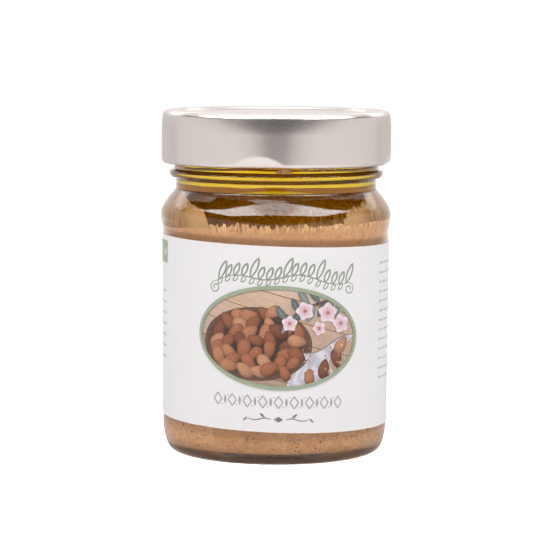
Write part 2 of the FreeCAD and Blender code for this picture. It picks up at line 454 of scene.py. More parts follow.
def fringe(angle):
    """How far the almond butter clings to the glass above its top, in fine upright streaks."""
    circle = Vector((math.sin(angle), math.cos(angle), 0)) * (panel_radius - wall)
    slow = noise.noise(circle / 9.0 + Vector((3, 1, 7)))
    middle = noise.noise(circle / 1.5)
    fine = noise.noise(circle / 0.42 + Vector((9, 2, 5)))
    left = 0.5 + 0.5 * math.tanh(6 * (-0.75 - angle_from_front(angle)))
    streaky = (1 - left) * (0.9 + 0.5 * math.tanh(3 * slow))      # nearly level on the left
    behind = max(0.0, -math.cos(angle)) ** 0.5
    streaks = math.tanh(1.7 * (middle + 1.2 * fine))              # flat-topped
    to_right = 0.5 * max(0.0, math.sin(angle))
    return max(0.0, 0.75 + to_right + 0.7 * slow + 0.75 * streaky * streaks + 2.4 * behind)


def angle_from_front(angle):
    return (angle + math.pi) % TURN - math.pi


def almond_butter():
    inside = inside_outline()
    wall_foot, floor_edge, segments = 66.0, 28.0, 1200
    rows = [ring(r + butter_into_wall * min(1, r), z - butter_into_wall * (r < floor_edge), segments)
            for r, z in inside if z < wall_foot]
    angles = round_turn(segments)
    tops = []
    for a in angles:
        x, y, _ = place(panel_radius - wall, a, 0)
        tops.append(butter_surface(x, y) + fringe(a))
    for share in spaced(0, 1, 20):
        row = []
        for a, top in zip(angles, tops):
            z = between(wall_foot, top, share)
            row.append(place(radius_on(inside, z) + butter_into_wall, a, z))
        rows.append(row)
    cling = 0.5                                # its top falls away from the glass over this distance
    for inset in (0.12, cling, 1.2, 2.5, 4.5, 7, 10, 14, 18, 22, 26, 30):
        row = []
        for a, top in zip(angles, tops):
            x, y, _ = place(radius_on(inside, top) - inset, a, 0)
            level = butter_surface(x, y) + 0.25 * noise.noise(Vector((x, y, 0)) / 1.6)
            fade = max(0.0, 1 - inset / cling) ** 0.5
            row.append((x, y, level + (top - level) * fade * 0.9))
        rows.append(row)
    rows.append([(0, 0, butter_surface(0, 0))])
    piece = new_piece("butter", *loft(rows), [butter_material()])
    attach(piece, BODY)
    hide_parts("almond_butter")


@cache
def butter_material():
    """Tan paste with darker clouds, fine cracks and bits of skin; streaky near its top, and a darker band
    just above the label that is painted shadow of the label's edge."""
    n = Nodes("almond_butter_paste")
    where = n.coordinates()
    x, _, z = n.axes(where)
    cloud = n.noise(70.0, where, 5.0, 0.6)
    colour = n.mix(n.ramp(cloud, 0.3, 0.7), BUTTER_DEEP, BUTTER_TAN)
    mottle = n.noise(420.0, where, 3.0)
    colour = n.mix(n.ramp(mottle, 0.45, 0.8, 0.0, 0.45), colour, BUTTER_PALE)
    grain = n.noise(1300.0, where, 2.0)
    colour = n.mix(n.ramp(grain, 0.56, 0.8, 0.0, 0.5), colour, BUTTER_BROWN)
    crack = n.noise(230.0, n.stretched(2.6, where), 4.0, 0.62)
    line = n.ramp(n.math("ABSOLUTE", n.math("SUBTRACT", crack, 0.5)), 0.002, 0.018, 0.85, 0.0)
    colour = n.mix(n.times(line, n.ramp(cloud, 0.42, 0.62)), colour, BUTTER_BROWN)
    speckled = n.ramp(z, 0.069, 0.0715, 0.85, 0.12)      # few bits near the top
    for scale, empty, reach in SPECKS:
        cells = n.reading("TexVoronoi", where, {"feature": "F1"}, Scale=scale, Randomness=1.0)
        pick = n.add("SeparateColor", Color=cells.outputs["Color"])
        size = n.times(n.ramp(pick.outputs[0], empty, 1.0), reach)
        speck = n.math("LESS_THAN", cells.outputs["Distance"], size)
        colour = n.mix(n.times(speck, speckled), colour, BUTTER_SKIN)
    level = n.math("SUBTRACT", z, n.times(x, butter_tilt))
    near_top = n.times(n.ramp(level, 0.0722, 0.0742), n.ramp(x, -0.022, -0.016))
    streak = n.noise(1500.0, n.stretched(0.07, where), 2.0, 0.6)
    pale, oily = n.ramp(streak, 0.50, 0.66, 0.0, 0.85), n.ramp(streak, 0.46, 0.34, 0.0, 0.75)
    colour = n.mix(n.times(near_top, pale), colour, BUTTER_STREAK)
    colour = n.mix(n.times(near_top, oily), colour, BUTTER_OILY_AND_SHADE)
    # painted shadow: the paste darkens in a band just above the label's top edge, where the label shades it
    along_label = n.math("ADD", z, n.times(x, label_skew))
    painted_label_shadow = n.times(n.ramp(along_label, 0.0714, 0.0702), n.ramp(along_label, 0.066, 0.068))
    colour = n.mix(n.times(painted_label_shadow, 0.6), colour, BUTTER_OILY_AND_SHADE)
    body = n.add("BsdfPrincipled", Base_Color=colour, Roughness=0.5, IOR=1.05)
    n.put(body, "Normal", n.bump(grain, 0.2, 0.0003))
    return n.finish(body.outputs[0])


def oil():
    inside = inside_outline()
    segments = 180
    under, wall_foot = 0.4, 75.6               # depth under the butter's top; foot of its side on the glass
    rows = [[(0, 0, butter_surface(0, 0) - under)]]
    for share in spaced(0, 1, 16)[1:]:
        row = []
        for a in round_turn(segments):
            x, y, _ = place(share * (panel_radius - wall + oil_into_wall), a, 0)
            row.append((x, y, butter_surface(x, y) - under))
        rows.append(row)
    rows += [ring(r + oil_into_wall, z, segments) for r, z in inside if wall_foot < z < oil_level]
    rows += [ring(r, oil_level, segments) for r in (mouth_radius + oil_into_wall, mouth_radius / 2, 0)]
    material = clear_material("almond_oil", 1.0, absorption=oil_absorption())
    piece = new_piece("oil_layer", *loft(rows), [material], sharp_from=50)
    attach(piece, BODY)
    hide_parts("oil")


def smears():
    """Almond butter left on the inside of the neck: irregular thin patches with a few bits."""
    rng = random.Random(8)
    inside = inside_outline()
    points, faces = [], []

    def patch(turn, height, half_length, half_height, lift):
        start, count, rings = len(points), 48, 6
        for j in range(rings + 1):
            for i in range(count if j else 1):
                a = TURN * i / count
                ragged = 1 + 0.5 * noise.noise(Vector((2.2 * math.cos(a), 2.2 * math.sin(a), turn * 3)))
                along = j / rings * half_length * ragged * math.cos(a)
                z = height + j / rings * half_height * ragged * math.sin(a)
                out = radius_on(inside, z) + oil_into_wall + lift * (1.2 - j / rings)
                points.append(place(out, math.radians(turn) + along / mouth_radius, z))
        faces.extend(disc_faces(start, count, rings))

    for turn, height, half_length, half_height in SMEARS:
        patch(turn, height, half_length, half_height, 0.05)
        for _ in range(round(half_length * 3)):
            patch(turn + math.degrees(rng.uniform(-1.2, 1.2) * half_length / mouth_radius),
                  height + rng.uniform(-1.6, 0.6) * half_height, rng.uniform(0.15, 0.5),
                  rng.uniform(0.12, 0.4), 0.07)
    piece = new_piece("butter_smears", points, faces, [butter_material()])
    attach(piece, BODY)


def film_top(angle):
    """Height the thin film reaches on the inside of the shoulder, at an angle from the front in degrees."""
    for (a0, z0), (a1, z1) in zip(FILM_TOPS, FILM_TOPS[1:]):
        if a0 <= abs(angle) <= a1:
            return between(z0, z1, (abs(angle) - a0) / (a1 - a0))
    return 0.0


def shoulder_film():
    """A thin, upright-streaked film of almond butter on the inside of the shoulder, at its sides."""
    inside = inside_outline()
    points, faces = [], []
    step, levels = 0.3, 10
    for i in range(round(360 / step)):
        angle = -180 + i * step
        turn = math.radians(angle)
        circle = Vector((math.sin(turn), math.cos(turn), 0)) * 33
        ragged = noise.noise(circle / 1.1 + Vector((2, 8, 1))) + noise.noise(circle / 0.35)
        top = film_top(angle) + ragged * (1.5 if angle > 0 else 0.35)      # more ragged on the right
        foot = butter_surface(*place(mouth_radius, turn, 0)[:2]) + 0.2
        if top < foot + 0.3:
            continue
        start = len(points)
        for z in spaced(foot, top, levels):
            out = radius_on(inside, z) + oil_into_wall + 0.05
            points += [place(out, turn, z), place(out, turn + math.radians(step), z)]
        faces += [(a, a + 1, a + 3, a + 2) for a in range(start, start + 2 * levels, 2)]
    piece = new_piece("butter_film", points, faces, [film_material()])
    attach(piece, BODY)


def film_material():
    """Brown to tan in upright streaks, and paler nearest the jar's middle."""
    n = Nodes("almond_butter_film")
    streak = n.noise(900.0, n.stretched(0.06), 3.0, 0.6)
    colour = n.mix(n.ramp(streak, 0.35, 0.65), FILM_THIN, FILM_THICK)
    far_out = n.ramp(n.math("ABSOLUTE", n.axes()[0]), 0.0235, 0.029)
    colour = n.mix(far_out, FILM_END, colour)
    body = n.add("BsdfPrincipled", Base_Color=colour, Roughness=0.5, IOR=1.05)
    return n.finish(body.outputs[0])


# ---------------------------------------------------------------- label

def label_edge(height, angle):
    return height - label_skew * panel_radius * math.sin(angle)


def label():
    half_gap = math.asin(label_back_gap / 2 / panel_radius)
    angles = spaced(half_gap - math.pi, math.pi - half_gap, 240)

    def skin(lift):
        rows = []
        for height in spaced(label_foot, label_head, 24):
            edge = [label_edge(height, a) for a in angles]
            rows.append([place(panel_radius_at(z) + lift, a, z) for a, z in zip(angles, edge)])
        return rows

    outer, inner = skin(label_thickness), skin(-0.01)
    rows = outer + inner[::-1] + outer[:1]
    points, faces = loft(rows, wrap=False)
    count = len(angles)
    last = (len(rows) - 1) * count             # the last row is the first one again
    faces = [tuple(i - last if i >= last else i for i in face) for face in faces]
    for side in (0, count - 1):
        column = [j * count + side for j in range(len(rows) - 1)]
        for j in range(len(column) // 2 - 1):
            quad = (column[j], column[j + 1], column[-2 - j], column[-1 - j])
            faces.append(quad[::-1] if side else quad)
    piece = new_piece("label_sheet", points[:last], faces, [label_material()], sharp_from=40)
    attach(piece, BODY)
    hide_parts("label")


def label_material():
    n = Nodes("label_stock")
    colour = n.mix(n.noise(60.0, detail=2.0), (0.825, 0.795, 0.80, 1), (0.855, 0.83, 0.835, 1))
    body = n.add("BsdfPrincipled", Base_Color=colour, Roughness=0.5, IOR=1.4)
    fibre = n.noise(2600.0, detail=2.0)
    n.put(body, "Normal", n.bump(fibre, 0.05, 0.0001))
    return n.finish(body.outputs[0])


# ---------------------------------------------------------------- print on the label

PRINT_TURN = math.radians(2.0)       # the print's middle is turned this far towards +X
INK_STEP = 0.012                     # each layer of print lies this much further out
PICTURE_HEIGHT = 40.5                # the oval picture's middle
OVAL = (26.6, 16.2)                  # its half width and half height, with the ring around it
OVAL_RING = 1.15
PICTURE_LIMIT = (OVAL[0] - 0.4, OVAL[1] - 0.4)      # the picture reaches just under the ring

# the picture's blossoms: along, up and size
BLOSSOMS = ((15.5, 8.0, 3.4), (8.0, 8.6, 3.0), (20.2, 4.6, 3.1), (3.2, 4.6, 2.6), (12.6, 3.2, 2.3))

SAGE = rgb(160, 172, 146)
SCRIPT_GREEN = rgb(148, 150, 136)
SOFT_GREY = rgb(166, 165, 163)
DARK_GREY = rgb(128, 128, 128)
PALE_GREY = rgb(196, 195, 202)


class Print:
    """Flat shapes of ink; places are millimetres along the label from the print's middle, and heights."""

    def __init__(self, middle_height=0.0, keep=lambda spot: spot):
        """keep draws a spot back to where this print may lie."""
        self.middle_height, self.keep = middle_height, keep
        self.points, self.faces, self.tones = [], [], []

    def add(self, spot, layer, tone):
        angle = PRINT_TURN + spot[0] / panel_radius
        height = label_edge(self.middle_height + spot[1], angle)
        out = panel_radius_at(height) + label_thickness + INK_STEP * layer
        self.points.append(place(out, angle, height))
        self.tones += tone

    def patch(self, centre, edge, layer, tone, rings=3):
        """A filled shape; tone is a colour, or gives one for a spot and its share of the way out."""
        centre, edge = self.keep(centre), [self.keep(spot) for spot in edge]
        start, count = len(self.points), len(edge)
        shade = tone if callable(tone) else lambda spot, share: tone
        self.add(centre, layer, shade(centre, 0))
        for share in spaced(0, 1, rings)[1:]:
            for x, y in edge:
                spot = (between(centre[0], x, share), between(centre[1], y, share))
                self.add(spot, layer, shade(spot, share))
        self.faces += disc_faces(start, count, rings)

    def stroke(self, line, width, layer, tone, taper=0.6):
        """A line of ink, thinner towards its ends by the taper."""
        line = [self.keep(spot) for spot in line]
        start, last = len(self.points), len(line) - 1
        for i, (x, y) in enumerate(line):
            before, after = line[max(i - 1, 0)], line[min(i + 1, last)]
            run = (after[0] - before[0], after[1] - before[1])
            length = math.hypot(*run) or 1.0
            half = width / 2 * (1 - taper + taper * math.sin(math.pi * i / last))
            side = (-run[1] / length * half, run[0] / length * half)
            self.add((x + side[0], y + side[1]), layer, tone)
            self.add((x - side[0], y - side[1]), layer, tone)
        for i in range(last):
            a = start + 2 * i
            self.faces.append((a, a + 1, a + 3, a + 2))

    def finish(self, name):
        piece = new_piece(name, self.points, self.faces, [ink_material()])
        tones = piece.data.color_attributes.new("tone", "FLOAT_COLOR", "POINT")
        tones.data.foreach_set("color", self.tones)
        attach(piece, BODY)


@cache
def ink_material():
    n = Nodes("label_ink")
    tone = n.add("Attribute", {"attribute_name": "tone"}).outputs["Color"]
    grain = n.ramp(n.noise(1900.0, detail=2.0), 0.3, 0.7, 0.90, 1.06)
    grey = n.add("CombineColor", Red=grain, Green=grain, Blue=grain).outputs[0]
    colour = n.mix(1.0, tone, grey, "MULTIPLY")
    body = n.add("BsdfPrincipled", Base_Color=colour, Roughness=0.45, IOR=1.4)
    return n.finish(body.outputs[0])


def turned(spot, centre, angle):
    x, y = spot
    return (centre[0] + x * math.cos(angle) - y * math.sin(angle),
            centre[1] + x * math.sin(angle) + y * math.cos(angle))


def oval(half_width, half_height, count):
    return [(half_width * math.cos(a), half_height * math.sin(a)) for a in round_turn(count)]


def disc(centre, radius, count):
    return [(centre[0] + x, centre[1] + y) for x, y in oval(radius, radius, count)]


def leaf(foot, angle, length, width, count=18):
    """Outline of a leaf, pointed at both ends, from its foot."""
    edge = []
    for i in range(count):
        share = i / count
        along = 1 - abs(1 - 2 * share)
        side = -1 if share < 0.5 else 1
        across = side * width / 2 * math.sin(math.pi * along) ** 0.8
        edge.append(turned((along * length, across), foot, angle))
    return edge


def within(spot):
    """A spot of the picture, drawn back to just under the oval's ring where it lies outside."""
    reach = math.hypot(spot[0] / PICTURE_LIMIT[0], spot[1] / PICTURE_LIMIT[1])
    return spot if reach <= 1 else (spot[0] / reach, spot[1] / reach)


def blend(first, second, share):
    share = max(0.0, min(1.0, share))
    return tuple(between(a, b, share) for a, b in zip(first, second))


def scaled(tone, factor):
    return tuple(channel * factor for channel in tone[:3]) + (1.0,)


def planks(picture, rng):
    """Pale boards behind the picture's motifs, with a darker line between neighbours."""
    lean, width = math.radians(-14), 6.4
    tones = [blend(rgb(208, 184, 170), rgb(196, 160, 128), rng.random()) for _ in range(9)]

    def shade(spot, share):
        across = spot[1] * math.cos(lean) - spot[0] * math.sin(lean)
        along = spot[0] * math.cos(lean) + spot[1] * math.sin(lean)
        board = int(across // width) + 4
        grain = noise.noise(Vector((along / 9.0, across / 0.9, board)))
        light = 0.93 + 0.012 * spot[1] + 0.16 * grain
        return scaled(tones[board], light)

    picture.patch((0, 0), oval(*PICTURE_LIMIT, 150), 1, shade, rings=30)
    for board in range(-3, 4):
        line = [within(turned((-30 + i, board * width), (0, 0), lean)) for i in range(61)]
        line = [p for p, q in zip(line, line[1:]) if math.dist(p, q) > 0.6]
        if len(line) > 3:
            picture.stroke(line, 0.3, 2, rgb(140, 104, 84), 0.2)


def cloth(picture):
    """A pale folded cloth in the lower right."""
    def fold_edge(x):
        return -4.5 + 0.34 * (x - 8) + 0.8 * math.sin(x / 2.6)

    def shade(spot, share):
        fold = math.sin(spot[0] * 0.9 + spot[1] * 1.3 + 1.5 * math.sin(spot[1] / 2.1))
        return blend(rgb(224, 220, 228), rgb(188, 184, 198), 0.5 + 0.5 * fold)

    top = [(x, fold_edge(x)) for x in spaced(5, 26.7, 31)]
    bottom = [(x, -17.0) for x in spaced(2.5, 27, 35)]
    picture.patch((14, -7.5), bottom + top[::-1], 3, shade, rings=14)
    picture.stroke([(x, y - 0.2) for x, y in top], 0.4, 4, rgb(150, 132, 128), 0.3)


def almond(picture, centre, angle, size, tone, layer):
    """One kernel, lit from the upper left, with a darker rim and a few fine ridges."""
    edge = []
    for x, y in oval(1, 1, 22):
        width = 0.62 - 0.16 * x
        edge.append(turned((x * size / 2, y * width * size / 2), centre, angle))

    def shade(spot, share):
        side = ((spot[1] - centre[1]) * 0.8 - (spot[0] - centre[0]) * 0.5) / size
        return scaled(tone, (1.05 + 0.9 * side) * (1 - 0.55 * share ** 3))

    picture.patch(centre, edge, layer, shade, rings=4)
    reach = size * 0.36
    for k in (-0.32, 0.0, 0.32):
        ridge = [turned((reach * t, reach * k * (1 - 0.6 * t * t)), centre, angle)
                 for t in spaced(-1, 1, 6)]
        picture.stroke(ridge, 0.14, layer + 0.5, scaled(tone, 0.62), 0.8)


def almond_heap(picture, rng):
    """A heap of kernels left of the middle, with dark gaps, and a few strewn ones with chips."""
    browns = [rgb(168, 106, 76), rgb(148, 92, 64), rgb(184, 124, 90), rgb(128, 78, 58), rgb(196, 140, 108)]
    strewn = [(14.5, -9.6), (18.8, -6.2), (9.6, -12.0), (20.5, -2.2)]
    middle = (-7, -2.2)

    def gap(spot, share):
        return blend(rgb(62, 46, 40), rgb(110, 82, 68), share ** 6)

    edge = [(middle[0] + x, middle[1] + y) for x, y in oval(17.5, 11.5, 60)]
    picture.patch(middle, edge, 3, gap, rings=14)
    spots = []
    for row in range(7):
        y = 7.2 - row * 2.9
        reach = 15.5 * math.sqrt(max(0.05, 1 - ((y - middle[1]) / 11.0) ** 2))
        count = max(2, round(2 * reach / 4.6))
        for i in range(count):
            x = middle[0] - reach + (2 * reach) * (i + 0.5) / count + rng.uniform(-1.0, 1.0)
            spots.append((x, y + rng.uniform(-0.8, 0.8)))
    layer = 5.0
    for spot in spots + strewn:
        almond(picture, spot, rng.uniform(0, TURN), rng.uniform(5.2, 6.8), rng.choice(browns), layer)
        layer += 0.16
    for _ in range(26):
        spot = (rng.uniform(7, 22), rng.uniform(-11, -2))
        chip = [turned((x, y), spot, rng.uniform(0, 3)) for x, y in oval(0.55, 0.3, 8)]
        tone = blend(rgb(226, 200, 164), rgb(188, 140, 100), rng.random())
        picture.patch(spot, chip, 14, tone, rings=1)


def blossom_branch(picture, rng):
    """A twig with slate-green leaves and pale five-petalled blossoms, from the top right."""
    twig = [within((26 - 26 * t, 10.5 + 2.6 * math.sin(3.0 * t) - 8.0 * t * t)) for t in spaced(0, 1, 30)]
    picture.stroke(twig, 0.9, 15, rgb(96, 74, 66), 0.4)
    for k in range(13):
        foot = twig[3 + 2 * k]
        side = 1 if k % 2 else -1
        angle = math.pi + side * rng.uniform(0.7, 1.2)
        length, width = rng.uniform(5.0, 7.0), rng.uniform(1.9, 2.6)
        tone = blend(rgb(86, 96, 98), rgb(138, 148, 138), rng.random())

        def shade(spot, share, tone=tone):
            return scaled(tone, 1.15 - 0.35 * share)

        middle = turned((length / 2, 0), foot, angle)
        picture.patch(middle, leaf(foot, angle, length, width), 16 + k * 0.12, shade, rings=4)
        rib = [turned((along, 0), foot, angle) for along in spaced(0, length, 6)]
        picture.stroke(rib, 0.22, 18, scaled(tone, 1.7), 0.7)
    for x, y, size in BLOSSOMS:
        blossom(picture, (x, y), size, rng)


def blossom(picture, centre, size, rng):
    start = rng.random()

    def shade(spot, share):
        inward = 1 - math.dist(spot, centre) / size
        return blend(rgb(240, 230, 234), rgb(214, 150, 164), inward * 0.9)

    for k in range(5):
        angle = start + TURN * k / 5
        middle = turned((size * 0.55, 0), centre, angle)
        picture.patch(middle, leaf(centre, angle, size, size * 0.86, 14), 19 + 0.1 * k, shade, rings=3)
    picture.patch(centre, disc(centre, 0.5, 10), 20, rgb(176, 112, 92), rings=1)
    for a in round_turn(7):
        thread = [turned((along, 0), centre, a) for along in spaced(0, size * 0.36, 3)]
        picture.stroke(thread, 0.12, 20.5, rgb(190, 130, 110), 0.2)


def label_picture():
    rng = random.Random(11)
    picture = Print(PICTURE_HEIGHT, within)
    planks(picture, rng)
    cloth(picture)
    almond_heap(picture, rng)
    blossom_branch(picture, rng)
    middle = OVAL_RING / 2
    picture.stroke(loop(oval(OVAL[0] - middle, OVAL[1] - middle, 180)), OVAL_RING, 22, SAGE, 0.0)
    picture.finish("label_picture")


def loop(edge):
    return edge + edge[:1]


def garland(ink, middle, height):
    """A slanted row of leaves on a waving stem, with a curl at each end."""
    def stem(x):
        return height - 0.0042 * x * x + 0.9 * math.sin(x / 3.3)

    ink.stroke([(middle + x * 0.5, stem(x * 0.5)) for x in range(-44, 45)], 0.42, 1, SCRIPT_GREEN, 0.5)
    for k in range(17):
        x = -20.8 + 2.6 * k
        tall = 6.6 if k % 4 == 0 else 4.2
        up = leaf((middle + x, stem(x)), math.radians(66), tall, 1.7 if tall > 5 else 1.5)
        ink.stroke(loop(up), 0.58, 1, SCRIPT_GREEN, 0.25)
        if k < 16:
            down = leaf((middle + x + 1.2, stem(x + 1.2)), math.radians(-128), 2.4, 1.1)
            ink.stroke(loop(down), 0.36, 1, SCRIPT_GREEN, 0.25)
    for side in (-1, 1):
        curl = []
        for i in range(25):
            a = math.radians(-90 + 22 * i)
            r = 1.9 * (1 - i / 30)
            curl.append((middle + side * (22 + r * math.cos(a)), stem(side * 22) - 1.9 - r * math.sin(a)))
        ink.stroke(curl, 0.4, 1, SCRIPT_GREEN, 0.5)


def lozenge(centre, half_width, half_height, steps=5):
    corners = [(half_width, 0), (0, half_height), (-half_width, 0), (0, -half_height)]
    edge = []
    for (x0, y0), (x1, y1) in zip(corners, corners[1:] + corners[:1]):
        edge += [(centre[0] + x0 + (x1 - x0) * i / steps, centre[1] + y0 + (y1 - y0) * i / steps)
                 for i in range(steps)]
    return edge


def lozenge_row(ink, middle, height):
    """Outlined lozenges with an upright leaf and two dots between neighbours."""
    count, spacing = 9, 4.9
    for k in range(count):
        x = middle + (k - count // 2) * spacing
        ink.stroke(loop(lozenge((x, height), 1.35, 1.9)), 0.42, 1, SOFT_GREY, 0.0)
        if k == count - 1:
            break
        x += spacing / 2
        ink.patch((x, height), leaf((x, height - 1.5), math.pi / 2, 3.0, 0.8), 1, SOFT_GREY, 1)
        for side in (-1, 1):
            dot = (x + side * 0.95, height + side * 1.5)
            ink.patch(dot, disc(dot, 0.22, 8), 1, SOFT_GREY, 1)


def divider(ink, middle, height):
    """A lozenge between two thin lines that curl at their outer ends."""
    ink.patch((middle, height), lozenge((middle, height), 1.5, 0.9), 1, DARK_GREY, 1)
    for side in (-1, 1):
        line = [(middle + side * (2.4 + 0.5 * i), height + 0.35 * math.sin(i / 2.2)) for i in range(15)]
        ink.stroke(line, 0.36, 1, DARK_GREY, 0.3)
        curl = [(middle + side * (10.2 + 1.0 * math.sin(a * 0.3) * (1 - a / 22)),
                 height + 0.9 * math.cos(a * 0.3 + 1.2) * (1 - a / 22)) for a in range(20)]
        ink.stroke(curl, 0.34, 1, DARK_GREY, 0.4)
        small = leaf((middle + side * 4.2, height + 0.5), math.pi / 2 - side * 0.9, 2.2, 0.8)
        ink.patch((middle + side * 5.0, height + 1.2), small, 1, DARK_GREY, 1)


def side_panels(ink, rng):
    """A sage tag on the left, and faint ruled dashes round both sides."""
    tag = (-52.5, 63.6)
    corner, half = 1.0, (7.3, 3.6)
    edge = []
    for quarter, (sx, sy) in enumerate(((1, 1), (-1, 1), (-1, -1), (1, -1))):
        for i in range(6):
            a = math.pi / 2 * (quarter + i / 5)
            edge.append((tag[0] + sx * (half[0] - corner) + corner * math.cos(a),
                         tag[1] + sy * (half[1] - corner) + corner * math.sin(a)))
    fine_edge = []
    for (x0, y0), (x1, y1) in zip(edge, edge[1:] + edge[:1]):
        steps = max(1, math.ceil(math.dist((x0, y0), (x1, y1)) / 0.9))
        fine_edge += [(x0 + (x1 - x0) * i / steps, y0 + (y1 - y0) * i / steps) for i in range(steps)]
    ink.patch(tag, fine_edge, 1, SAGE, rings=8)
    for x, angle in ((4.6, 1.2), (0.6, 1.8), (-3.4, 1.2)):
        spot = (tag[0] + x, tag[1] - 1.4)
        ink.patch(turned((1.4, 0), spot, angle), leaf(spot, angle, 2.8, 1.2), 2, rgb(232, 234, 220), 2)
    for side, first, last, near in ((1, 63.0, 26.5, 39.5), (-1, 51.0, 30.0, -47.0)):
        rows = 13 if side > 0 else 7
        for k in range(rows):
            height = first + (last - first) * k / (rows - 1)
            x = near
            reach = near + side * rng.uniform(20, 36)
            while abs(x) < abs(reach):
                dash = rng.uniform(1.2, 4.0)
                line = [(x + side * dash * i / 4, height) for i in range(5)]
                ink.stroke(line if side > 0 else line[::-1], 0.7, 1, PALE_GREY, 0.1)
                x += side * (dash + 0.9)


def label_ornaments():
    rng = random.Random(5)
    ink = Print()
    garland(ink, 1.4, 59.4)
    lozenge_row(ink, 0.0, 20.4)
    divider(ink, 0.0, 15.0)
    side_panels(ink, rng)
    ink.finish("label_ornaments")


# ---------------------------------------------------------------- lid

def smooth_least(a, b, reach):
    """The lesser of two lengths, with the corner between them rounded off."""
    h = max(reach - abs(a - b), 0.0) / reach
    return min(a, b) - h * h * reach / 4


def lid_outline():
    """The outside of the lid from the middle of its top down and round the rolled edge, then its inside."""
    lean = 2 * math.atan(lid_draw / lid_draw_height)
    foot = (lid_radius - lid_draw, lid_top - lid_corner_radius * (1 - math.sin(lean)))
    centre = (foot[0] - lid_corner_radius * math.cos(lean), lid_top - lid_corner_radius)
    draw_radius = lid_draw_height / math.sin(lean)
    draw_foot = foot[1] - lid_draw_height
    roll = (lid_radius - roll_radius, lid_bottom + roll_radius)
    panel = lid_top - lid_panel_drop
    outside = joined(
        [(i * lid_panel_radius / 12, panel) for i in range(12)],
        step_curve((lid_panel_radius, panel), (lid_panel_radius + lid_panel_step, lid_top)),
        arc(centre, lid_corner_radius, math.pi / 2, lean, 0.15),
        arc((lid_radius - draw_radius, draw_foot), draw_radius, lean, 0, 0.4),
        [(lid_radius, roll[1] + lug_height + 1 - i * 0.25) for i in range(16)],
        arc(roll, roll_radius, 0, -math.pi * 1.15, 0.2))
    inner_radius = lid_radius - lid_sheet
    inside = joined(
        [(inner_radius - 0.5, lid_bottom + 2 * roll_radius),
         (inner_radius, lid_bottom + 2.6 * roll_radius), (inner_radius, lid_top - lid_corner_radius)],
        arc(centre, lid_corner_radius - lid_sheet, 0, math.pi / 2, 0.3),
        [(lid_panel_radius + lid_panel_step, lid_top - lid_sheet), (lid_panel_radius, panel - lid_sheet),
         (0, panel - lid_sheet)])
    return outside + inside


def step_curve(low, high, count=10):
    """A soft step between two levels."""
    points = []
    for share in spaced(0, 1, count):
        rise = share * share * (3 - 2 * share)
        points.append((between(low[0], high[0], share), between(low[1], high[1], rise)))
    return points


def lug_limit(angle, height):
    """Largest radius that the lugs' pressings leave at a place on the skirt."""
    spacing = TURN / lug_count
    off = (angle - first_lug + spacing / 2) % spacing - spacing / 2
    flat = lid_radius - lug_depth + (height - lid_bottom) * lug_depth / lug_height
    return flat / math.cos(off)


def lid():
    rows = []
    for r, z in lid_outline():
        if r < 1e-6:
            rows.append([(0, 0, z)])
            continue
        row = []
        share = max(0.0, 1 - (lid_radius - r) / lug_reach) if z < lid_top - lug_reach else 0.0
        for angle in round_turn(360):
            pressed = smooth_least(lid_radius, lug_limit(angle, z), 0.35) - lid_radius
            row.append(place(r + pressed * share, angle, z))
        rows.append(row)
    piece = new_piece("lid_shell", *loft(rows), [lid_material()], sharp_from=60)
    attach(piece, BODY)
    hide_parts("lid")


def lid_material():
    n = Nodes("satin_tinplate")
    colour = n.mix(n.noise(40.0, detail=2.0), (0.76, 0.675, 0.635, 1), (0.81, 0.735, 0.70, 1))
    body = n.add("BsdfPrincipled", Base_Color=colour, Metallic=1.0,
                 Roughness=0.26, Specular_Tint=(0.62, 0.615, 0.615, 1))
    return n.finish(body.outputs[0])


# ---------------------------------------------------------------- stage, light and camera

ALL_RAYS = ("camera", "diffuse", "glossy", "transmission", "shadow")
MIRRORED = ("glossy", "transmission")


def level_card(name, low, high, height, material, visible):
    """A level card between two corners in plan."""
    plan = (low, (high[0], low[1]), high, (low[0], high[1]))
    studio_card(name, [(x, y, height) for x, y in plan], material, visible)


def upright_card(name, start, end, foot, top, material, visible):
    """An upright card over the line between two places in plan."""
    studio_card(name, [(*start, foot), (*end, foot), (*end, top), (*start, top)], material, visible)


def studio_card(name, corners, material, visible):
    """A rectangle of the studio that only the named kinds of ray see."""
    mesh = bpy.data.meshes.new(name)
    mesh.from_pydata([Vector(c) * MM for c in corners], [], [(0, 1, 2, 3)])
    mesh.materials.append(material)
    piece = new_object(name, mesh)
    for kind in ALL_RAYS:
        setattr(piece, "visible_" + kind, kind in visible)


# The studio, in millimetres: a wide soft panel overhead with a dark opening over the jar, a white floor,
# a long card on each side of it, and a low dark card of painted shade close behind the jar.
PANEL_HEIGHT = 680.0
PANEL_HALF_WIDTH = 1380.0
PANEL_FRONT, PANEL_BACK = -790.0, 740.0
SOFTBOX_BACK = -150.0
FLOOR_HALF_WIDTH = 520.0
FLOOR_FRONT, FLOOR_BACK = -880.0, 1400.0
SIDE_CARD_FRONT, SIDE_CARD_BACK = -2600.0, 250.0
SIDE_CARD_FOOT, SIDE_CARD_TOP = -150.0, 420.0
SHADE_HALF_WIDTH, SHADE_BACK, SHADE_TOP = 44.0, 40.0, 34.0
CAMERA_PLACE = (1.45, -801.0, 140.2)
CAMERA_PITCH, CAMERA_ROLL = math.radians(83.9), math.radians(0.4)
LAMP_RADIANCE = 3.3


